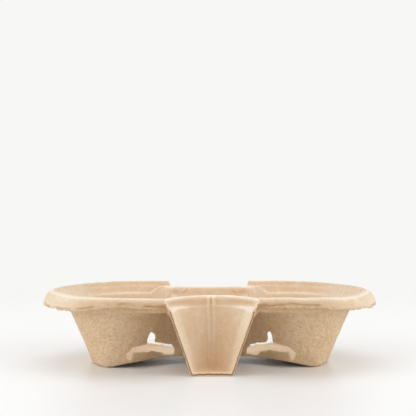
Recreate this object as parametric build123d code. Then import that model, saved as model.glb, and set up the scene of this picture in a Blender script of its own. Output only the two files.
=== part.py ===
from build123d import *
import math
import os

# Two-cup carrier of moulded pulp: one thin sheet with a rim, a deck, two round pockets joined by a
# V-shaped trough, and two half-funnel legs that are open to the front and to the back.
# Millimetres. Origin: middle of the footprint on the table. X along the length, Z up.
# The sheet is made as one set of solids for its underside less a second set for its hollows.

# Sheet and cups
sheet = 1.9  # thickness of the pulp
cup_pitch = 108.0  # distance between the cup centres

# Pockets and the trough between them, measured on the outside of the wall
pocket_foot_radius = 24.0  # on the table
pocket_draft = 23.0  # degrees from vertical
pocket_foot_round = 3.0
trough_foot_half = 6.0  # half width on the table
trough_top_half = 25.2  # half width at the ridge

# Underside, which arches between the outer feet
arch_rise = 4.4
arch_foot = 66.0  # where the pockets leave the table
arch_shoulder = 51.0
arch_shoulder_rise = 3.4

# Rim, flange and deck
rim_height = 48.0  # table to the crest
rim_radius = 48.0  # plan radius of the crest round each cup
rim_land = 1.4  # flat top of the rim
flange_reach = 8.0  # how far the flange stands out past the crest, at the ends
flange_drop = 9.6  # crest to the lower edge of the flange, at the ends
flange_side_reach = 4.0  # the same two sizes along the straight sides
flange_side_drop = 5.0
flange_turn = 62.0  # where the lower edge of the flange starts to fall, and where it is down
flange_low = 86.0
deck_drop = 8.0  # crest to the deck inside the rim
rim_band = 3.4  # crest to the small step in the inside wall of the rim
band_step = 0.45
band_lean = 0.35  # inward run of that wall for each millimetre down
deck_round = 1.5

# Ridge wall that stands on the deck, round the top of the trough
ridge_dip = 1.6  # how far its top lies below the crest of the rim, beside the trough
ridge_fall = 0.09  # further fall for each millimetre out toward the rim
ridge_width = 3.0  # across its top
ridge_draft = 15.0  # degrees from vertical, on the side of the deck
ridge_half = 34.5  # half length of its top
ridge_slope = 41.0  # degrees, from its ends down to the deck

# Half-funnel legs
leg_foot_half = 10.9  # half width on the table
leg_top_half = 27.4  # half width of the funnel where it would reach the rim
mouth_foot_half = 25.8  # half width of the gap in the rim in front of the leg, at the deck
mouth_half = 29.0  # and at the crest
leg_foot_back = 41.0  # back wall on the table, from the middle of the part
leg_foot_front = 51.0  # trimmed edge on the table
leg_side_lean = 2.5  # how much narrower the funnel's back is than its front, each side, at its top
leg_foot_lean = 1.3
leg_back_bow = 8.6  # how far the back wall bows in toward the trough, at its top
leg_foot_bow = 1.5
leg_corner = 5.0
leg_foot_corner = 2.5
leg_foot_round = 2.0
ridge_land = 0.9  # how far the funnel's back wall would stand out past the trough wall, at the rim
bead_pitch = 3.5  # between the two beads down the middle of the leg
bead_width = 1.5
bead_height = 0.7

# Slots torn in the pocket walls, four times: an arch over a tab, with a slit above it
slot_outer = 53.8  # from the middle of the part
slot_inner = 23.6
slot_top = 16.3
slot_shoulder = 13.4
slot_haunch = 9.5
slot_corner = 2.0
slot_seat = 0.2  # strip of wall left between the floor and a slot's feet
slit_middle = 37.7
slit_width = 3.6
slit_top = 23.6
tab_outer_gap = 2.6  # opening beside the tab at the slot's outer foot
tab_inner_gap = 6.7  # and at its inner foot
tab_top = 10.5
tab_dip = 1.7  # how much lower its inner end lies
tab_level = 38.0  # where that fall starts
tab_corner = 1.6
back_tab = 0.7  # what is left of the tabs in the back wall, which are torn off short

# Worked out
half_pitch = cup_pitch / 2
ridge_height = rim_height - ridge_dip
deck_height = rim_height - deck_drop
pocket_draft_run = math.tan(math.radians(pocket_draft))
trough_draft_run = (trough_top_half - trough_foot_half) / ridge_height
wall_inset = sheet / math.cos(math.radians(pocket_draft))
tab_outer = slot_outer - tab_outer_gap
tab_inner = slot_inner + tab_inner_gap
lip_front = rim_radius + flange_side_reach
lip_height = rim_height - flange_side_drop
over = 2.0  # how far a cutting solid runs past what it cuts
hair = 0.05  # slack for telling edges and corners apart by their height or place
wide = 2 * (half_pitch + rim_radius + flange_reach)


def stadium(radius, side, height):
    """Plan outline round both cups: straight sides and half-ellipse ends."""
    with BuildSketch(Plane.XY.offset(height)) as plan:
        with BuildLine():
            Line((-half_pitch, -side), (half_pitch, -side))
            EllipticalCenterArc((half_pitch, 0), radius, side, start_angle=-90, arc_size=180)
            Line((half_pitch, side), (-half_pitch, side))
            EllipticalCenterArc((-half_pitch, 0), radius, side, start_angle=90, arc_size=180)
        make_face()
    return plan.sketch


def peanut(radius, waist, height):
    """Plan outline of the two pockets and the trough: four arcs, each tangent to the next."""
    waist_radius = (half_pitch**2 + waist**2 - radius**2) / (2 * (radius - waist))
    share = waist_radius / (radius + waist_radius)
    join_x = half_pitch * share
    join_y = (waist + waist_radius) * (1 - share)
    with BuildSketch(Plane.XY.offset(height)) as plan:
        with BuildLine():
            ThreePointArc((join_x, -join_y), (half_pitch + radius, 0), (join_x, join_y))
            ThreePointArc((join_x, join_y), (0, waist), (-join_x, join_y))
            ThreePointArc((-join_x, join_y), (-half_pitch - radius, 0), (-join_x, -join_y))
            ThreePointArc((-join_x, -join_y), (0, -waist), (join_x, -join_y))
        make_face()
    return plan.sketch


def below_arch(lift):
    """Everything under the arched floor, which is lifted by the thickness for the inside."""
    with BuildSketch(Plane.XZ.offset(-wide / 2)) as profile:
        with BuildLine():
            arch = Spline(
                (-arch_foot, lift),
                (-arch_shoulder, lift + arch_shoulder_rise),
                (0, lift + arch_rise),
                (arch_shoulder, lift + arch_shoulder_rise),
                (arch_foot, lift),
            )
            Polyline(
                arch @ 1,
                (wide / 2, lift),
                (wide / 2, -over),
                (-wide / 2, -over),
                (-wide / 2, lift),
                arch @ 0,
            )
        make_face()
    return extrude(profile.sketch, wide)


def bowl(inset, lift, foot_round):
    """Pockets and trough, up past the rim, set in from the outside of the wall."""

    def section(height):
        radius = pocket_foot_radius + pocket_draft_run * height - inset
        waist = trough_foot_half + trough_draft_run * height - inset
        return peanut(radius, waist, height)

    body = loft([section(0), section(rim_height + over)], ruled=True) - below_arch(lift)
    foot = [e for e in body.edges() if e.bounding_box().max.Z < lift + arch_rise + hair]
    return fillet(foot, foot_round)


def flange_block(inset):
    """The rim and flange as a solid block: a quarter ellipse that falls from the crest."""
    base = rim_height - flange_drop
    crest = rim_height - inset
    levels = 6

    def run(reach, drop, height):
        fallen = min(1.0, (crest - height) / (drop - inset))
        return (reach - inset) * math.sqrt(1 - (1 - fallen) ** 2)

    sections = []
    for level in range(levels + 1):
        height = crest - (crest - base) * (level / levels) ** 2
        end = rim_radius + run(flange_reach, flange_drop, height)
        side = rim_radius + run(flange_side_reach, flange_side_drop, height)
        sections.append(stadium(end, side, height))
    return loft(sections)


def flange():
    """The roof of the rim with its flange, trimmed higher along the sides than at the ends."""
    skin = flange_block(0) - flange_block(sheet)
    low = rim_height - flange_drop
    with BuildSketch(Plane.XZ.offset(-wide / 2)) as profile:
        with BuildLine():
            Polyline(
                (-flange_low, low),
                (-flange_turn, lip_height),
                (flange_turn, lip_height),
                (flange_low, low),
                (flange_low, low - over),
                (-flange_low, low - over),
                close=True,
            )
        make_face()
    return skin - extrude(profile.sketch, wide)


def ridge_wall(inset):
    """Solid wall round the top of the trough, which slopes to the deck at its ends."""
    foot = deck_height - over - sheet
    draft_run = math.tan(math.radians(ridge_draft))
    top_radius = pocket_foot_radius + pocket_draft_run * ridge_height - wall_inset + ridge_width
    top_waist = trough_top_half - wall_inset + ridge_width

    def section(height):
        grow = draft_run * (ridge_height - height) - inset
        return peanut(top_radius + grow, top_waist + grow, height)

    return loft([section(foot), section(ridge_height)], ruled=True) & ridge_roof(inset, foot)


def ridge_roof(inset, foot):
    """Space below the ridge wall's top: sloped at its ends, and falling from the trough to the rim."""
    top = ridge_height - inset
    half = ridge_half - inset * math.tan(math.radians(ridge_slope / 2))
    run = (top - foot) / math.tan(math.radians(ridge_slope))
    edge = rim_radius + over
    edge_top = top - ridge_fall * (edge - trough_top_half)
    with BuildSketch(Plane.XZ.offset(-wide / 2)) as length_profile:
        with BuildLine():
            Polyline(
                (-half - run, foot),
                (-half, top),
                (half, top),
                (half + run, foot),
                close=True,
            )
        make_face()
    with BuildSketch(Plane.YZ.offset(-wide / 2)) as width_profile:
        with BuildLine():
            Polyline(
                (-edge, foot),
                (-edge, edge_top),
                (-trough_top_half, top),
                (trough_top_half, top),
                (edge, edge_top),
                (edge, foot),
                close=True,
            )
        make_face()
    return extrude(length_profile.sketch, wide) & extrude(width_profile.sketch, wide)


def basin(grow):
    """Hollow inside the rim, down to the deck, round the ridge wall. Grown by the sheet outside."""
    floor = deck_height - grow
    step = rim_height - rim_band - grow
    inner = rim_radius - rim_land + grow

    def section(height, step_in):
        radius = inner - band_lean * (rim_height - height) - step_in
        return stadium(radius, radius, height)

    top = rim_height if grow else rim_height + over
    upper = loft([section(step, 0), section(top, 0)], ruled=True)
    lower = loft([section(floor, band_step), section(step, band_step)], ruled=True)
    floor_edges = lower.faces().sort_by(Axis.Z)[0].edges()
    lower = fillet(floor_edges, deck_round + grow)
    return upper + lower - ridge_wall(grow)


def leg_section(height, half, grow):
    """Plan outline of the front leg's hollow: a back wall that bows in, and sides that splay."""
    share = height / rim_height
    front = half_pitch * 2

    def between(foot, mouth):
        return foot + (mouth - foot) * share

    side = half + grow
    back = between(leg_foot_back, trough_top_half + ridge_land) - grow
    bow = between(leg_foot_bow, leg_back_bow)
    back_side = side - between(leg_foot_lean, leg_side_lean)
    corner = between(leg_foot_corner, leg_corner) + grow
    with BuildSketch(Plane.XY.offset(height)) as plan:
        with BuildLine():
            ThreePointArc((back_side, -back - bow), (0, -back), (-back_side, -back - bow))
            Polyline(
                (-back_side, -back - bow),
                (-side, -leg_foot_front),
                (-side, -front),
                (side, -front),
                (side, -leg_foot_front),
                (back_side, -back - bow),
            )
        make_face()
        inner_corners = [v for v in plan.vertices() if v.Y > -back - bow - hair]
        fillet(inner_corners, corner)
    return plan.sketch


def leg_funnel(grow):
    """Front leg's hollow, from its floor plate up past the rim."""
    floor = sheet - grow
    roof = rim_height + over
    splay = (leg_top_half - leg_foot_half) / rim_height
    sections = [leg_section(z, leg_foot_half + splay * z, grow) for z in (floor, roof)]
    body = loft(sections, ruled=True)
    floor_edges = [e for e in body.faces().sort_by(Axis.Z)[0].edges() if e.center().Y > -leg_foot_front]
    return fillet(floor_edges, leg_foot_round + grow)


def leg_mouth(grow):
    """Gap in the rim in front of the leg, through which the deck runs out beside the funnel."""
    floor = deck_height - grow
    roof = rim_height + over
    splay = (mouth_half - mouth_foot_half) / (rim_height - deck_height)
    floor_half = mouth_foot_half + splay * (floor - deck_height) + grow
    roof_half = mouth_foot_half + splay * (roof - deck_height) + grow
    rim_foot = rim_radius - rim_land - band_lean * (rim_height - deck_height) - band_step
    with BuildSketch(Plane.XZ.offset(rim_foot - over)) as profile:
        with BuildLine():
            Polyline(
                (-floor_half, floor),
                (-roof_half, roof),
                (roof_half, roof),
                (floor_half, floor),
                close=True,
            )
        make_face()
    return extrude(profile.sketch, wide)


def leg_hollow(grow):
    """Whole hollow of the front leg, or the outside of its sheet."""
    return leg_funnel(grow) + leg_mouth(grow)


def leg_beads():
    """Two raised beads down the middle of the front leg's back wall and of the ridge wall above it."""
    ridge = trough_top_half + ridge_land

    def section(height):
        share = height / rim_height
        back = leg_foot_back + (ridge - leg_foot_back) * share
        with BuildSketch(Plane.XY.offset(height)) as plan:
            with Locations((0, -back + over / 2)):
                RectangleRounded(bead_width, 2 * bead_height + over, bead_width / 3)
        return plan.sketch

    bead = loft([section(0), section(ridge_height - bead_height)], ruled=True)
    return Pos(-bead_pitch / 2, 0, 0) * bead + Pos(bead_pitch / 2, 0, 0) * bead


def leg_trim():
    """What may hold a leg's sheet: inside the trimmed front edge and under the rim and flange."""
    with BuildSketch(Plane.YZ.offset(-wide / 2)) as profile:
        with BuildLine():
            Polyline(
                (-leg_foot_front, 0),
                (-lip_front, lip_height),
                (-lip_front, rim_height),
                (0, rim_height),
                (0, 0),
                close=True,
            )
        make_face()
    slab = extrude(profile.sketch, wide)
    cap_height = rim_height + over - lip_height
    cap = Pos(0, -lip_front / 2, lip_height + cap_height / 2) * Box(wide, lip_front + over, cap_height)
    return slab - (cap - flange_block(0))


def slot_pair(top, dip):
    """Profile of the two slots in one wall, with the top of their tabs and the fall at its inner end."""
    inner_foot = arch_rise + sheet + slot_seat
    outer_foot = arch_shoulder_rise + sheet + slot_seat
    slit = slit_width / 2
    with BuildSketch(Plane.XZ) as profile:
        with BuildLine():
            Polyline(
                (slit_middle - slit, slit_top - slit),
                (slit_middle - slit, slot_top),
                (slot_inner + slot_corner, slot_shoulder),
                (slot_inner, slot_haunch),
                (slot_inner, inner_foot),
                (tab_inner, inner_foot),
                (tab_inner + tab_corner, top - dip),
                (tab_level, top),
                (tab_outer - tab_corner, top),
                (tab_outer, outer_foot),
                (slot_outer, outer_foot),
                (slot_outer, slot_haunch),
                (slot_outer - slot_corner * 2, slot_shoulder),
                (slit_middle + slit, slot_top),
                (slit_middle + slit, slit_top - slit),
            )
            ThreePointArc(
                (slit_middle + slit, slit_top - slit),
                (slit_middle, slit_top),
                (slit_middle - slit, slit_top - slit),
            )
        make_face()
        mirror(about=Plane.YZ)
    return profile.sketch


def wall_slots():
    """The four torn slots. The tabs in the front wall stand, and those in the back wall are short."""
    back_top = arch_rise + sheet + slot_seat + back_tab
    return extrude(slot_pair(tab_top, tab_dip), wide / 2) + extrude(slot_pair(back_top, 0), -wide / 2)


def both_legs(front_leg):
    """A front leg's solid and its copy at the back."""
    return front_leg + mirror(front_leg, about=Plane.XZ)


def carrier_tray():
    """The whole sheet."""
    outside = basin(sheet) + bowl(0, 0, pocket_foot_round) + flange()
    outside += both_legs(leg_hollow(sheet) & leg_trim())
    hollow = basin(0) + bowl(wall_inset, sheet, pocket_foot_round - sheet)
    hollow += both_legs(leg_hollow(0))
    return outside - (hollow - both_legs(leg_beads())) - wall_slots()


part = carrier_tray()
os.makedirs("parts", exist_ok=True)
export_step(part, "parts/carrier_tray.step")
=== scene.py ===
"""Two-cup carrier of moulded pulp on a pale studio floor, seen from a little above its front leg.

The carrier is one sheet of pulp. Its CAD solid gives the form. The piece that is shown is a fine mesh of
that solid, roughened the way felted fibre is, with torn slots, a ragged flange and trimmed leg edges.
Blender units are metres. Sizes of the sheet's own details are written in millimetres.
"""

import math

import bpy
import numpy as np
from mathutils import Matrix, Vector, noise

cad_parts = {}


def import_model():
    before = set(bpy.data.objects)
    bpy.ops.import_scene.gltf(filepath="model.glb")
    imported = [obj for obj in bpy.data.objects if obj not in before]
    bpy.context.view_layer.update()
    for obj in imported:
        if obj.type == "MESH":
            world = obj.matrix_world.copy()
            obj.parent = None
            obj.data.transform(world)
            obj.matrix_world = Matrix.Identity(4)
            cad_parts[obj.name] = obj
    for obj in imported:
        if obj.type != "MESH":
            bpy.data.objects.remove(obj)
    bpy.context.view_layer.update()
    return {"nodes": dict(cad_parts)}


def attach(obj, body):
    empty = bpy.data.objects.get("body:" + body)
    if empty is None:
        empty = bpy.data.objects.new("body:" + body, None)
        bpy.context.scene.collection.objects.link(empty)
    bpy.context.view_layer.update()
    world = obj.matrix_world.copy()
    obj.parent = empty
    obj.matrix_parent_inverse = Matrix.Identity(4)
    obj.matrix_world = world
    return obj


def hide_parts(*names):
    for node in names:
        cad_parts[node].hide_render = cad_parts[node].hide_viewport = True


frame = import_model()

MM = 0.001
ROOM = "#F7F7F5"  # the pale room round the carrier, as the camera sees it
noise.seed_set(3)  # else the noise vectors follow the clock, and every run tears the sheet in another way

# Places on the sheet, in millimetres, in the frame of the part
SHEET = 1.9  # thickness of the pulp
HALF_PITCH = 54.0  # from the middle of the part to a cup's centre
RIM_RADIUS = 48.0  # plan radius of the crest round a cup
RIM_HEIGHT = 48.0
LIP_SIDE = 43.0  # height of the flange's lower edge along the straight sides
LIP_END = 38.4  # and at the ends
LIP_TURN, LIP_LOW = 62.0, 86.0  # |x| between which that edge falls
LEG_FRONT_FOOT, LEG_FRONT_LIP = 51.0, 52.0  # |y| of the leg's trimmed edge on the table and at the lip
LEG_FOOT_HALF, LEG_TOP_HALF = 10.9, 27.4  # inner half width of the leg on the table and at the rim
BEAD_SIDE = 1.75  # |x| of the two beads down a leg's hollow
SLIT_MIDDLE = 37.7  # |x| of the slit above each slot
SLOT_ARCH = [  # a slot's arch and slit, in |x| and height, from its inner foot to its outer foot
    (30.3, 6.5), (23.6, 6.5), (23.6, 9.5), (25.6, 13.4), (35.9, 16.3), (35.9, 21.8), (SLIT_MIDDLE, 23.6),
    (39.5, 21.8), (39.5, 16.3), (49.8, 13.4), (53.8, 9.5), (53.8, 5.5), (51.2, 5.5),
]
TAB_FRONT = [(49.6, 10.5), (38.0, 10.5), (31.9, 8.8), (30.3, 6.5)]  # and back along the tab under the arch
TAB_BACK = [(49.6, 7.2), (31.9, 7.2), (30.3, 6.5)]  # the same in the back wall, where the tab is torn off
PINCH = [(25.0, 39.0), (28.2, 42.6), (31.5, 43.4), (38.0, 43.6)]  # crease beside a leg, in |x| and height


def linear(hex_colour):
    """A colour written as sRGB hex, as Blender's linear RGBA."""
    channels = [int(hex_colour[i : i + 2], 16) / 255 for i in (1, 3, 5)]
    curve = [c / 12.92 if c <= 0.04045 else ((c + 0.055) / 1.055) ** 2.4 for c in channels]
    return (*curve, 1.0)


def per_mm(size):
    """Scale of a Blender pattern whose features are size millimetres apart."""
    return 1.0 / (size * MM)


# Meshes, and their points as arrays in millimetres


def apply_modifiers(piece):
    """Turns what the piece's modifiers make of its mesh into its mesh."""
    graph = bpy.context.evaluated_depsgraph_get()
    mesh = bpy.data.meshes.new_from_object(piece.evaluated_get(graph), depsgraph=graph)
    piece.modifiers.clear()
    old = piece.data
    piece.data = mesh
    bpy.data.meshes.remove(old)


def fine_copy(node, voxel, softness):
    """A copy of a CAD node as an even mesh, with its edges rounded as wet pulp leaves them."""
    mesh = frame["nodes"][node].data.copy()
    mesh.materials.clear()
    piece = bpy.data.objects.new("pulp_sheet", mesh)
    bpy.context.scene.collection.objects.link(piece)
    weld = piece.modifiers.new("weld", "WELD")
    weld.merge_threshold = 0.001 * MM
    remesh = piece.modifiers.new("voxels", "REMESH")
    remesh.mode = "VOXEL"
    remesh.voxel_size = voxel * MM
    soften = piece.modifiers.new("soften", "SMOOTH")
    soften.factor = 0.5
    soften.iterations = round((2 * softness / voxel) ** 2)
    apply_modifiers(piece)
    return piece


def thin(piece, triangles, kept):
    """Brings the piece down to that many triangles, and leaves the kept points about as dense as before."""
    faces = sum(len(p.vertices) - 2 for p in piece.data.polygons)
    plain = piece.vertex_groups.new(name="plain")
    plain.add(np.flatnonzero(~kept).tolist(), 1.0, "REPLACE")
    decimate = piece.modifiers.new("thin", "DECIMATE")
    decimate.vertex_group = plain.name
    decimate.vertex_group_factor = 1.0
    decimate.ratio = min(1.0, triangles / faces)
    apply_modifiers(piece)


def points_of(mesh):
    """The mesh's points, one to a row."""
    flat = np.empty(len(mesh.vertices) * 3, np.float32)
    mesh.vertices.foreach_get("co", flat)
    return flat.reshape(-1, 3).astype(float) / MM


def normals_of(mesh):
    """The way that the surface faces at each point."""
    flat = np.empty(len(mesh.vertices) * 3, np.float32)
    mesh.vertex_normals.foreach_get("vector", flat)
    return flat.reshape(-1, 3).astype(float)


def store_points(mesh, points):
    """Moves the mesh's points to the rows of the array."""
    mesh.vertices.foreach_set("co", (points * MM).astype(np.float32).ravel())
    mesh.update()


def store_mask(mesh, name, values):
    """Keeps a value from 0 to 1 at each point, for the material to read."""
    mask = mesh.attributes.new(name, "FLOAT", "POINT")
    mask.data.foreach_set("value", np.clip(values, 0, 1).astype(np.float32))


def waves(points, size, seed):
    """Smooth noise between about -1 and 1 at each point, with features size millimetres across."""
    shift = Vector((seed * 17.3, seed * -9.1, seed * 5.7))
    return np.array([noise.noise(Vector(p) / size + shift) for p in points]) * 1.6


def bends(points, size, seed):
    """Smooth noise vectors at each point."""
    shift = Vector((seed * 13.7, seed * 3.9, seed * -7.3))
    return np.array([noise.noise_vector(Vector(p) / size + shift) for p in points])


def ramp(value, low, high):
    """0 below low, 1 above high, and an even blend between."""
    t = np.clip((value - low) / (high - low), 0.0, 1.0)
    return t * t * (3 - 2 * t)


def hump(value, middle, width):
    """1 at the middle, falling smoothly to about a third at the width on each side."""
    return np.exp(-(((value - middle) / width) ** 2))


def within(value, low, high):
    """Whether each value lies between low and high."""
    return (value > low) & (value < high)


def folded(p):
    """The points' |x|, |y| and z, in which both halves and both legs are one."""
    return np.abs(p[:, 0]), np.abs(p[:, 1]), p[:, 2]


def near_outline(x, z, outline):
    """Distance in the x-z plane from each point to an outline's nearest side."""
    best = np.full(len(x), 1e9)
    for (ax, az), (bx, bz) in zip(outline, outline[1:]):
        run, rise = bx - ax, bz - az
        along = np.clip(((x - ax) * run + (z - az) * rise) / (run ** 2 + rise ** 2), 0, 1)
        best = np.minimum(best, np.hypot(x - ax - along * run, z - az - along * rise))
    return best


# Where on the sheet a point lies


def past_crest(p):
    """How far outside the crest of the rim each point lies, in plan."""
    x, y, z = folded(p)
    return np.hypot(np.maximum(x - HALF_PITCH, 0), y) - RIM_RADIUS


def slot_nearness(p):
    """1 on a slot's torn edge, falling to 0 a little way into the wall."""
    x, y, z = folded(p)
    near = np.zeros(len(p))
    for front, tab in ((True, TAB_FRONT), (False, TAB_BACK)):
        region = within(x, 20, 58) & within(z, 4, 27) & within(y, 8, 40) & ((p[:, 1] < 0) == front)
        near[region] = 1 - ramp(near_outline(x[region], z[region], SLOT_ARCH + tab), 0.3, 1.7)
    return near


def above_lip(p):
    """Height above the flange's lower edge, and how far on the flange a point is, from 0 to 1."""
    x, y, z = folded(p)
    edge = LIP_SIDE + (LIP_END - LIP_SIDE) * np.clip((x - LIP_TURN) / (LIP_LOW - LIP_TURN), 0, 1)
    return z - edge, ramp(past_crest(p), 0.8, 2.2) * (z > LIP_END - 2)


def leg_edge_nearness(p):
    """1 on the trimmed front edge of a leg, falling to 0 behind it."""
    x, y, z = folded(p)
    front = LEG_FRONT_FOOT + (LEG_FRONT_LIP - LEG_FRONT_FOOT) * np.clip(z / LIP_SIDE, 0, 1)
    return (1 - ramp(front - y, 0.2, 1.4)) * (x < 33) * (z < LIP_SIDE + 1)


def leg_edge_depth(p):
    """How deep a point of the leg's trimmed edge lies in the sheet: 0 inside the leg, 1.9 outside."""
    x, y, z = folded(p)
    side = x - (LEG_FOOT_HALF + (LEG_TOP_HALF - LEG_FOOT_HALF) * z / RIM_HEIGHT)
    return np.maximum(side, SHEET - z)


# What moulding, tearing, trimming and drying do to the sheet: each moves the points in turn


def settle_folds(p):
    """Folds as wet pulp takes them from the mould, a little off the solid's."""
    strip_out, ledge_out, flute_in, bead_out = 0.6, 0.5, 0.6, 0.35  # how far each one moves
    foot_along, foot_out, right_foot_more, foot_down = 0.8, 2.4, 0.8, 0.6
    x, y, z = folded(p)
    outward = np.sign(p[:, 1])

    # A strip stands out above a leg's middle. Beside it a ledge crosses the leg, under a shallow channel
    leg_wall = within(y, 25, 47) * (x < 28)
    strip = (1 - ramp(x, 7, 16)) * hump(z, 41.0, 2.4) * within(y, 25, 31)
    ledge = ramp(x, 9, 18) * leg_wall * (ledge_out * (hump(z, 39.6, 1.5) - hump(z, 43.0, 1.6)))
    p[:, 1] += outward * (strip * strip_out + ledge)

    # Two flutes down each side of the trough
    flute = hump(x, 11.8, 2.7) * ramp(z, 18, 40) * (y < 26.5)
    p[:, 1] -= outward * flute * flute_in

    # The pockets' outer feet are squarer than a cone's foot, and spread on the table
    corner = hump(x, 67.0, 8.0) * hump(y, 21.0, 8.0) * (1 - ramp(z, 4, 16))
    p[:, 0] += np.sign(p[:, 0]) * corner * foot_along
    p[:, 1] += outward * corner * (foot_out + right_foot_more * (p[:, 0] > 0))
    p[:, 2] -= hump(z, 2.0, 2.2) * (x > 15) * foot_down

    # The beads down a leg's hollow
    bead = hump(x, BEAD_SIDE, 0.9) * ramp(y, 27, 29) * ramp(z, 3, 6)
    p[:, 1] += outward * bead * bead_out
    return p


def felt(p, normals, mesh_side):
    """Lumps of felted fibre, rougher on the side of the wire mesh."""
    lumps = waves(p, 7.0, 41) * 0.10 + waves(p, 2.6, 42) * 0.07
    grain = waves(p, 1.25, 43) * (0.02 + 0.03 * mesh_side)
    return p + normals * (lumps + grain)[:, None]


def tear_slots(p):
    """Ragged, pulled fibre round the slots. In front, the left slit is wide and askew, the right narrow."""
    near = slot_nearness(p)
    x, y, z = folded(p)
    ragged = bends(p, 3.2, 11) * 0.55 + bends(p, 1.3, 12) * 0.3
    p += ragged * near[:, None] * np.array([1.0, 0.35, 1.0])
    front_wall = within(p[:, 1], -42, -8)

    # How much wider each half of a front slit is torn, how far it is moved outward, and how it leans inward
    slit = ramp(z, 14.5, 17) * (1 - ramp(z, 24, 27)) * front_wall
    slit_middle_height, lean_inward = 19.5, 0.16
    for side, opening, shift in ((-1, 0.55, 0.5), (1, -0.45, -0.3)):
        off = p[:, 0] - side * SLIT_MIDDLE
        beside = hump(off, 0, 3.2) * slit
        lean = -lean_inward * (p[:, 2] - slit_middle_height)
        p[:, 0] += (np.sign(off) * opening + side * (shift + lean)) * beside

    # Top of the left slit: a point to the left of its middle, with a slanting side to its right
    point_across, slant_down = 1.2, 1.3
    off = p[:, 0] + SLIT_MIDDLE
    top = hump(off, 0.5, 3.0) * ramp(z, 18.5, 22.5) * (1 - ramp(z, 24.5, 27)) * front_wall
    p[:, 0] += top * ramp(-off, -0.8, 1.2) * point_across
    p[:, 2] -= top * ramp(off, -0.4, 1.6) * slant_down
    return p, near


def ragged_flange(p):
    """Fibre beards and drips on the flange's lower edge, where the wet sheet ran past the mould."""
    side_drop, end_rise, right_rise = 0.9, 1.3, 1.3
    stray, crease_depth = 0.35, 0.35
    height, on_flange = above_lip(p)
    near = on_flange * (1 - ramp(height, 0.6, 2.4))

    # The edge hangs lower along the sides, and is cut higher where it nears the right end in front
    beard = waves(p, 5.5, 21) * 0.4 + waves(p, 2.1, 22) * 0.25
    sides = 1 - end_rise * ramp(np.abs(p[:, 0]), 60, 88)
    right = right_rise * ramp(p[:, 0], 68, 86) * (1 - ramp(p[:, 0], 94, 103)) * (p[:, 1] < 0)
    p[:, 2] -= near * (beard + side_drop * sides - right)
    out = bends(p, 2.4, 23)
    p[:, :2] += out[:, :2] * (near * stray)[:, None]

    # A broken crease runs along the flange, a little above its edge
    crease_height = 1.7 + 0.5 * waves(p, 9.0, 24)
    crease = on_flange * hump(height, crease_height, 0.45) * ramp(waves(p, 6.0, 25), -0.5, 0.2)
    centre = np.stack([np.clip(p[:, 0], -HALF_PITCH, HALF_PITCH), np.zeros(len(p))], axis=1)
    inward = centre - p[:, :2]
    inward /= np.linalg.norm(inward, axis=1)[:, None]
    p[:, :2] += inward * (crease * crease_depth)[:, None]
    return p, near, crease


def trim_leg(p):
    """The legs' front edges: cut after drying, slightly swollen, and split between two layers of fibre."""
    split_middle, split_depth, swelling = 1.0, 0.45, 0.9
    near = leg_edge_nearness(p)
    x, y, z = folded(p)
    outward = np.sign(p[:, 1])
    depth = leg_edge_depth(p)
    split = near * hump(depth, split_middle, 0.45) * ramp(z, 0.3, 0.9)
    p += bends(p, 1.8, 31) * (near * 0.15)[:, None]
    p[:, 1] -= outward * split * split_depth
    plate = near * hump(z, SHEET, 0.8) * (1 - ramp(x, 9, 12))
    p[:, 2] += plate * swelling
    return p, near, depth


def pinch_corners(p):
    """Creases where the flange was pinched against the legs when the rim was cut."""
    x, y, z = folded(p)
    pinch = (1 - ramp(near_outline(x, z, PINCH), 0.2, 0.9)) * (y > 45)
    p[:, 1] -= np.sign(p[:, 1]) * pinch * 0.4
    return p, pinch


def warp(p):
    """The whole sheet's slow bends from drying: right wing and front rim droop, and no side is flat."""
    wing_droop, front_droop, front_wing_droop = 0.6, 0.3, 0.4
    high = np.clip(p[:, 2] / RIM_HEIGHT, 0, 1)
    right = ramp(p[:, 0], 40, 110)
    p[:, 2] -= wing_droop * right * high
    front = ramp(-p[:, 1], 20, 44) * ramp(p[:, 2], 20, 42)
    p[:, 2] -= front * (front_droop + front_wing_droop * ramp(np.abs(p[:, 0]), 24, 34))
    slow = bends(p, 46.0, 3)
    p += slow * np.array([0.3, 0.45, 0.45]) * high[:, None]
    p += bends(p, 15.0, 5) * 0.16
    return p


# The sheet as it is shown


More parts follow.
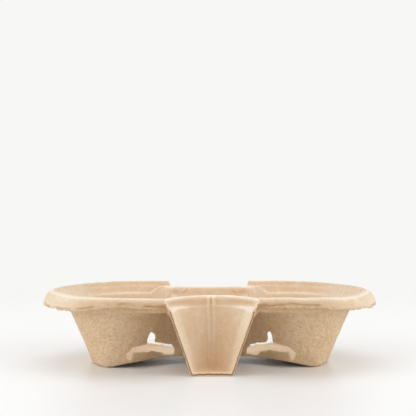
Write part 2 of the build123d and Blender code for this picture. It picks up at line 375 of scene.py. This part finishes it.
def painted_light_masks(p, normals, mesh_side):
    """Where light and shade are painted on the sheet: pale painted highlights, and browner, darker painted
    shade.
    """
    x, y, z = folded(p)
    pressed_side = 1 - mesh_side

    # Painted highlights: the rim's shoulder, the ridge over each leg, the beads, and the ledge across each
    # leg
    shoulder_line = past_crest(p) - 2.2 * ramp(x, 58, 92)
    shoulder = hump(shoulder_line, 0.5, 0.75) * (z > 40) * (normals[:, 2] > 0) * (x > 25)
    ridge_top = 46.0 - 0.09 * np.maximum(y - 25, 0)
    ridge = hump(z, ridge_top, 1.1) * (within(y, 22, 47) & (x < 32)) * pressed_side
    crest = np.maximum(shoulder, ridge)
    beads = hump(x, BEAD_SIDE, 0.8) * (y > 27) * ramp(z, 4, 30) * pressed_side
    ledge = ramp(x, 10, 20) * hump(z, 40.0, 1.5) * (within(y, 26, 50) & (x < 27)) * pressed_side
    painted_highlight = np.maximum.reduce([crest, beads * 0.5, ledge])

    # Painted shade, browner and darker: the walls beside the legs, the flange's side toward the legs, and
    # the channel above the ledge
    toward_leg = (1 - ramp(x, 36, 68)) * (0.4 + 0.6 * ramp(x, 22, 42))
    beside = toward_leg * mesh_side * (y > 8) * (1 - ramp(z, 34, 39))
    flange = (1 - ramp(x, 48, 96)) * (x > 29) * (y > 47) * (1 - ramp(z, 45.8, 47.3)) * 0.8
    leg_wall = within(y, 26, 47) & (x < 26)
    channel = hump(z, 43.0, 2.2) * leg_wall * (1 - crest) * (1 - beads * 0.7) * 0.8
    painted_shade_near_legs = np.maximum.reduce([beside, flange, channel])

    # Painted shade, browner: the foot of each leg's hollow, and steep walls on the pressed side that face
    # front or back
    hollow = within(y, 28, 50) * pressed_side * ramp(39 - z, 0, 4)
    foot = (1 - ramp(x, 6, 15)) * (0.4 + 0.6 * hump(z, 9, 14)) * hollow
    steep = ramp(np.abs(normals[:, 1]), 0.6, 0.9) * pressed_side * 0.6
    return painted_highlight, painted_shade_near_legs, np.maximum(foot, steep)


def pulp_sheet():
    """The carrier itself."""
    voxel, triangles = ((0.5, 196000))
    edge_softness = 0.6
    piece = fine_copy("carrier_tray", voxel, edge_softness)
    mesh = piece.data
    p = points_of(mesh)
    normals = normals_of(mesh)
    mesh_side = ramp(-normals[:, 2], -0.1, 0.25)
    p = settle_folds(p)
    p = felt(p, normals, mesh_side)
    p, slots = tear_slots(p)
    p, lip, crease = ragged_flange(p)
    p, leg, depth = trim_leg(p)
    p, pinch = pinch_corners(p)
    painted_highlight, painted_shade_near_legs, painted_shade_steep_faces = painted_light_masks(p, normals, mesh_side)
    p = warp(p)
    p[:, 2] = np.maximum(p[:, 2], 0.0)
    masks = {
        "mesh_side": mesh_side,
        "torn": np.maximum(slots, leg * 0.6),
        "ragged": lip,
        # Painted shade in the creases
        "painted_crease_shade": np.maximum(crease, pinch),
        "cut": ramp(leg, 0.3, 0.8),
        "cut_depth": depth / SHEET,
        # Painted highlights and painted shade, by where light falls on the sheet
        "painted_highlight": painted_highlight,
        "painted_shade_near_legs": painted_shade_near_legs,
        "painted_shade_steep_faces": painted_shade_steep_faces,
        # Painted shade on the down-facing feet and under the trough floor
        "painted_shade_under_feet": ramp(-normals[:, 2], 0.6, 0.9) * (p[:, 2] < 9),
    }
    for name, values in masks.items():
        store_mask(mesh, name, values)
    store_points(mesh, p)
    fine_edges = np.maximum.reduce([slots, lip, leg, crease]) > 0.1
    thin(piece, triangles, fine_edges)
    piece.data.polygons.foreach_set("use_smooth", [True] * len(piece.data.polygons))
    return piece


# Materials


def add(tree, kind, links=None, **settings):
    """A node of that kind with its settings, and with values or other sockets on its inputs."""
    node = tree.nodes.new(kind)
    for name, value in settings.items():
        setattr(node, name, value)
    for key, value in (links or {}).items():
        socket = node.inputs[key]
        if isinstance(value, bpy.types.NodeSocket):
            tree.links.new(value, socket)
        else:
            socket.default_value = value
    return node


def moulded_pulp():
    """Felted newspaper and kraft fibre, sucked onto wire mesh and dried: dull, warm and mottled.

    The side of the mesh is browner and coarser. Painted highlights and painted shade are laid over this
    from masks on the mesh.
    """
    pressed, meshed = "#EADAC4", "#E2CAAA"
    fibre = [  # size in mm, detail, noise from and to, greatest share pressed and meshed, way, and colour
        (24.0, 3.0, 0.35, 0.65, 0.7, 0.6, "MULTIPLY", "#F4EADC"),  # slow patches
        (2.6, 5.0, 0.40, 0.66, 0.16, 0.30, "MULTIPLY", "#CDB08A"),  # clumps
        (1.0, 3.0, 0.46, 0.66, 0.12, 0.31, "MULTIPLY", "#B8946A"),  # print of the wire mesh and loose fibre
        (1.5, 4.0, 0.62, 0.72, 0.20, 0.25, "MIX", "#F0E4D0"),  # pale flecks
        (1.2, 2.0, 0.69, 0.76, 0.25, 0.40, "MIX", "#8F6B42"),  # brown flecks
    ]
    zones = [  # mask on the mesh, size in mm, noise from and to, greatest share and colour
        ("painted_highlight", 6.0, 0.10, 0.30, 0.75, "#FBF0E0"),  # painted highlight on the rim's shoulder, the ridges over the legs, the beads and the ledges
        ("painted_shade_near_legs", 9.0, 0.05, 0.25, 0.45, "#B28D62"),  # painted shade beside the legs, on the flange toward them and in the channels above the ledges
        ("painted_shade_steep_faces", 12.0, 0.10, 0.40, 0.60, "#D8A976"),  # painted shade, browner, at the foot of each leg's hollow and on steep walls facing front or back
        ("painted_shade_under_feet", 8.0, 0.10, 0.30, 0.70, "#5E4630"),  # painted shade on the down-facing feet and under the trough floor
        ("torn", 2.0, 0.30, 0.60, 0.50, "#EACBA2"),  # clean fibre where the sheet was torn or cut
        ("ragged", 1.6, 0.40, 0.60, 0.35, "#B28B60"),  # beards on the flange's edge
        ("painted_crease_shade", 3.0, 0.20, 0.40, 0.60, "#9A6A40"),  # painted shade in the creases along the flange and beside the legs
    ]
    # The waves of the layers add about 0.17 to the depth, which the middles below allow for
    layers = [  # middle and half width as shares of the sheet, greatest share and colour
        (1.02, 0.28, 0.40, "#E0B585"),  # loose outer layer
        (0.72, 0.20, 0.90, "#7E4E30"),  # split between two layers
        (1.22, 0.12, 0.50, "#9A7048"),  # painted shade along the outer side of the cut edge
    ]
    material = bpy.data.materials.new("moulded_pulp")
    material.use_nodes = True
    tree = material.node_tree
    surface = tree.nodes["Principled BSDF"]
    place = add(tree, "ShaderNodeTexCoord").outputs["Object"]
    side = add(tree, "ShaderNodeAttribute", attribute_name="mesh_side").outputs["Fac"]
    base = add(tree, "ShaderNodeMix", {0: side, 6: linear(pressed), 7: linear(meshed)}, data_type="RGBA")
    colour = base.outputs[2]
    for size, detail, low, high, smooth, rough, laid, tint in fibre:
        cloud = add(tree, "ShaderNodeTexNoise", {"Vector": place, "Scale": per_mm(size), "Detail": detail})
        share = add(tree, "ShaderNodeMapRange", {0: side, 3: smooth, 4: rough})
        part = add(tree, "ShaderNodeMapRange", {0: cloud.outputs[0], 1: low, 2: high, 4: share.outputs[0]})
        inks = {0: part.outputs[0], 6: colour, 7: linear(tint)}
        colour = add(tree, "ShaderNodeMix", inks, data_type="RGBA", blend_type=laid).outputs[2]
    for mask, size, low, high, share, tint in zones:
        zone = add(tree, "ShaderNodeAttribute", attribute_name=mask)
        cloud = add(tree, "ShaderNodeTexNoise", {"Vector": place, "Scale": per_mm(size), "Detail": 3.0})
        part = add(tree, "ShaderNodeMapRange", {0: cloud.outputs[0], 1: low, 2: high, 4: share})
        shares = {0: zone.outputs["Fac"], 1: part.outputs[0]}
        worn = add(tree, "ShaderNodeMath", shares, operation="MULTIPLY")
        inks = {0: worn.outputs[0], 6: colour, 7: linear(tint)}
        colour = add(tree, "ShaderNodeMix", inks, data_type="RGBA").outputs[2]

    # Layers of fibre in the legs' trimmed edges, by their depth in the sheet, and a line of painted shade
    # on their outer side
    cut = add(tree, "ShaderNodeAttribute", attribute_name="cut").outputs["Fac"]
    depth = add(tree, "ShaderNodeAttribute", attribute_name="cut_depth").outputs["Fac"]
    sway = add(tree, "ShaderNodeTexNoise", {"Vector": place, "Scale": per_mm(5.0), "Detail": 3.0})
    wavy = add(tree, "ShaderNodeMath", {0: sway.outputs[0], 1: 0.35, 2: depth}, operation="MULTIPLY_ADD")
    for middle, half, share, tint in layers:
        off = add(tree, "ShaderNodeMath", {0: wavy.outputs[0], 1: middle}, operation="SUBTRACT")
        away = add(tree, "ShaderNodeMath", {0: off.outputs[0]}, operation="ABSOLUTE")
        line = add(tree, "ShaderNodeMapRange", {0: away.outputs[0], 1: half, 2: half * 0.4, 4: share})
        drawn = add(tree, "ShaderNodeMath", {0: cut, 1: line.outputs[0]}, operation="MULTIPLY")
        inks = {0: drawn.outputs[0], 6: colour, 7: linear(tint)}
        colour = add(tree, "ShaderNodeMix", inks, data_type="RGBA").outputs[2]
    tree.links.new(colour, surface.inputs["Base Color"])

    # Relief of the felt, finer than the mesh holds, and deeper on the side of the wire mesh
    clumps = add(tree, "ShaderNodeTexNoise", {"Vector": place, "Scale": per_mm(2.4), "Detail": 5.0})
    threads = add(tree, "ShaderNodeTexNoise", {"Vector": place, "Scale": per_mm(0.9), "Detail": 3.0})
    fine = add(tree, "ShaderNodeMath", {0: threads.outputs[0], 1: 0.7}, operation="MULTIPLY")
    height = add(tree, "ShaderNodeMath", {0: clumps.outputs[0], 1: fine.outputs[0]}, operation="ADD")
    deepest = add(tree, "ShaderNodeMapRange", {0: side, 3: 0.10 * MM, 4: 0.26 * MM})
    relief = {"Strength": 0.8, "Distance": deepest.outputs[0], "Height": height.outputs[0]}
    tree.links.new(add(tree, "ShaderNodeBump", relief).outputs[0], surface.inputs["Normal"])
    surface.inputs["Roughness"].default_value = 0.92
    surface.inputs["IOR"].default_value = 1.45
    surface.inputs["Specular IOR Level"].default_value = 0.25
    surface.inputs["Sheen Weight"].default_value = 0.12  # fuzz of fibre ends
    surface.inputs["Sheen Roughness"].default_value = 0.5
    surface.inputs["Sheen Tint"].default_value = linear("#FFF6EA")
    return material


def seen_ray(tree):
    """1 for what the camera sees, itself or in gloss or through glass."""
    ray = add(tree, "ShaderNodeLightPath")
    direct = {0: ray.outputs["Is Camera Ray"], 1: ray.outputs["Is Glossy Ray"]}
    shown = add(tree, "ShaderNodeMath", direct, operation="MAXIMUM")
    through = {0: shown.outputs[0], 1: ray.outputs["Is Transmission Ray"]}
    return add(tree, "ShaderNodeMath", through, operation="MAXIMUM").outputs[0]


def satin_board():
    """Satin white board: even, with a faint sheen, and lost in the pale room away from the carrier."""
    fade_from, fade_to = 0.20, 0.55  # metres from the middle of the carrier
    material = bpy.data.materials.new("satin_white_board")
    material.use_nodes = True
    tree = material.node_tree
    surface = tree.nodes["Principled BSDF"]
    surface.inputs["Base Color"].default_value = linear("#F0F0F0")
    surface.inputs["Roughness"].default_value = 0.38
    surface.inputs["IOR"].default_value = 1.45
    surface.inputs["Specular IOR Level"].default_value = 0.3
    place = add(tree, "ShaderNodeTexCoord").outputs["Object"]
    away = add(tree, "ShaderNodeVectorMath", {0: place}, operation="LENGTH")
    far = add(tree, "ShaderNodeMapRange", {0: away.outputs["Value"], 1: fade_from, 2: fade_to})
    faded = add(tree, "ShaderNodeMath", {0: far.outputs[0], 1: seen_ray(tree)}, operation="MULTIPLY")
    room = add(tree, "ShaderNodeEmission", {"Color": linear(ROOM), "Strength": 1.0})
    sources = {0: faded.outputs[0], 1: surface.outputs[0], 2: room.outputs[0]}
    blend = add(tree, "ShaderNodeMixShader", sources)
    tree.links.new(blend.outputs[0], tree.nodes["Material Output"].inputs["Surface"])
    return material


# Studio, in metres


def floor():
    """Wide board that the carrier stands on."""
    half = 6.0
    corners = [(-half, -half, 0), (half, -half, 0), (half, half, 0), (-half, half, 0)]
    mesh = bpy.data.meshes.new("studio_floor")
    mesh.from_pydata(corners, [], [(0, 1, 2, 3)])
    piece = bpy.data.objects.new("studio_floor", mesh)
    bpy.context.scene.collection.objects.link(piece)
    mesh.materials.append(satin_board())


def softbox(name, place, size, watts):
    """A rectangular lamp that faces the carrier."""
    carrier_middle = Vector((0.0, 0.0, 0.03))
    light = bpy.data.lights.new(name, "AREA")
    light.shape = "RECTANGLE"
    light.size, light.size_y = size
    light.energy = watts
    lamp = bpy.data.objects.new(name, light)
    lamp.location = place
    lamp.rotation_euler = (carrier_middle - Vector(place)).to_track_quat("-Z", "Y").to_euler()
    bpy.context.scene.collection.objects.link(lamp)


def lights():
    """A large low softbox on each side, a little in front, one above, and weak ones before and behind."""
    softbox("left_softbox", (-0.85, -0.30, 0.36), (0.8, 0.6), 4.4)
    softbox("right_softbox", (0.85, -0.30, 0.36), (0.8, 0.6), 4.4)
    softbox("top_softbox", (0.0, 0.20, 1.1), (1.2, 0.9), 4.3)
    softbox("front_softbox", (0.0, -1.5, 0.6), (1.8, 0.8), 1.2)
    softbox("back_softbox", (0.0, 1.1, 0.35), (1.6, 0.6), 1.0)


def world():
    """Pale surroundings: soft fill for the carrier, and a white that the camera sees."""
    room = bpy.data.worlds.new("pale_room")
    room.use_nodes = True
    tree = room.node_tree
    fill = tree.nodes["Background"]
    fill.inputs["Color"].default_value = linear("#FFFFFF")
    fill.inputs["Strength"].default_value = 0.46
    seen = add(tree, "ShaderNodeBackground", {"Color": linear(ROOM), "Strength": 1.0})
    mix = add(tree, "ShaderNodeMixShader", {0: seen_ray(tree), 1: fill.outputs[0], 2: seen.outputs[0]})
    tree.links.new(mix.outputs[0], tree.nodes["World Output"].inputs["Surface"])
    bpy.context.scene.world = room


def camera():
    """The photograph's view: 550 mm from the middle of the carrier and 108 mm above the table."""
    frame_side = 416  # pixels
    focal = 825.0  # pixels
    distance, height = 0.550, 0.1082
    carrier_turn = math.radians(1.3)  # how far the view is turned round the carrier
    horizon, middle = 198.0, 210.2  # pixel row of the horizon and pixel column of the part's origin
    lens = bpy.data.cameras.new("camera")
    lens.sensor_width = 36.0
    lens.lens = lens.sensor_width * focal / frame_side
    lens.clip_start, lens.clip_end = 0.01, 50.0
    viewer = bpy.data.objects.new("camera", lens)
    viewer.location = (-distance * math.sin(carrier_turn), -distance * math.cos(carrier_turn), height)
    dip = math.atan((frame_side / 2 - horizon) / focal)
    swing = math.atan((middle - frame_side / 2) / focal)
    viewer.rotation_euler = (math.pi / 2 - dip, 0.0, swing - carrier_turn)
    bpy.context.scene.collection.objects.link(viewer)
    bpy.context.scene.camera = viewer


camera()
world()
lights()
floor()

sheet = pulp_sheet()
sheet.data.materials.append(moulded_pulp())
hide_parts("carrier_tray")
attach(sheet, "root")

bpy.context.scene.view_settings.view_transform = "Standard"
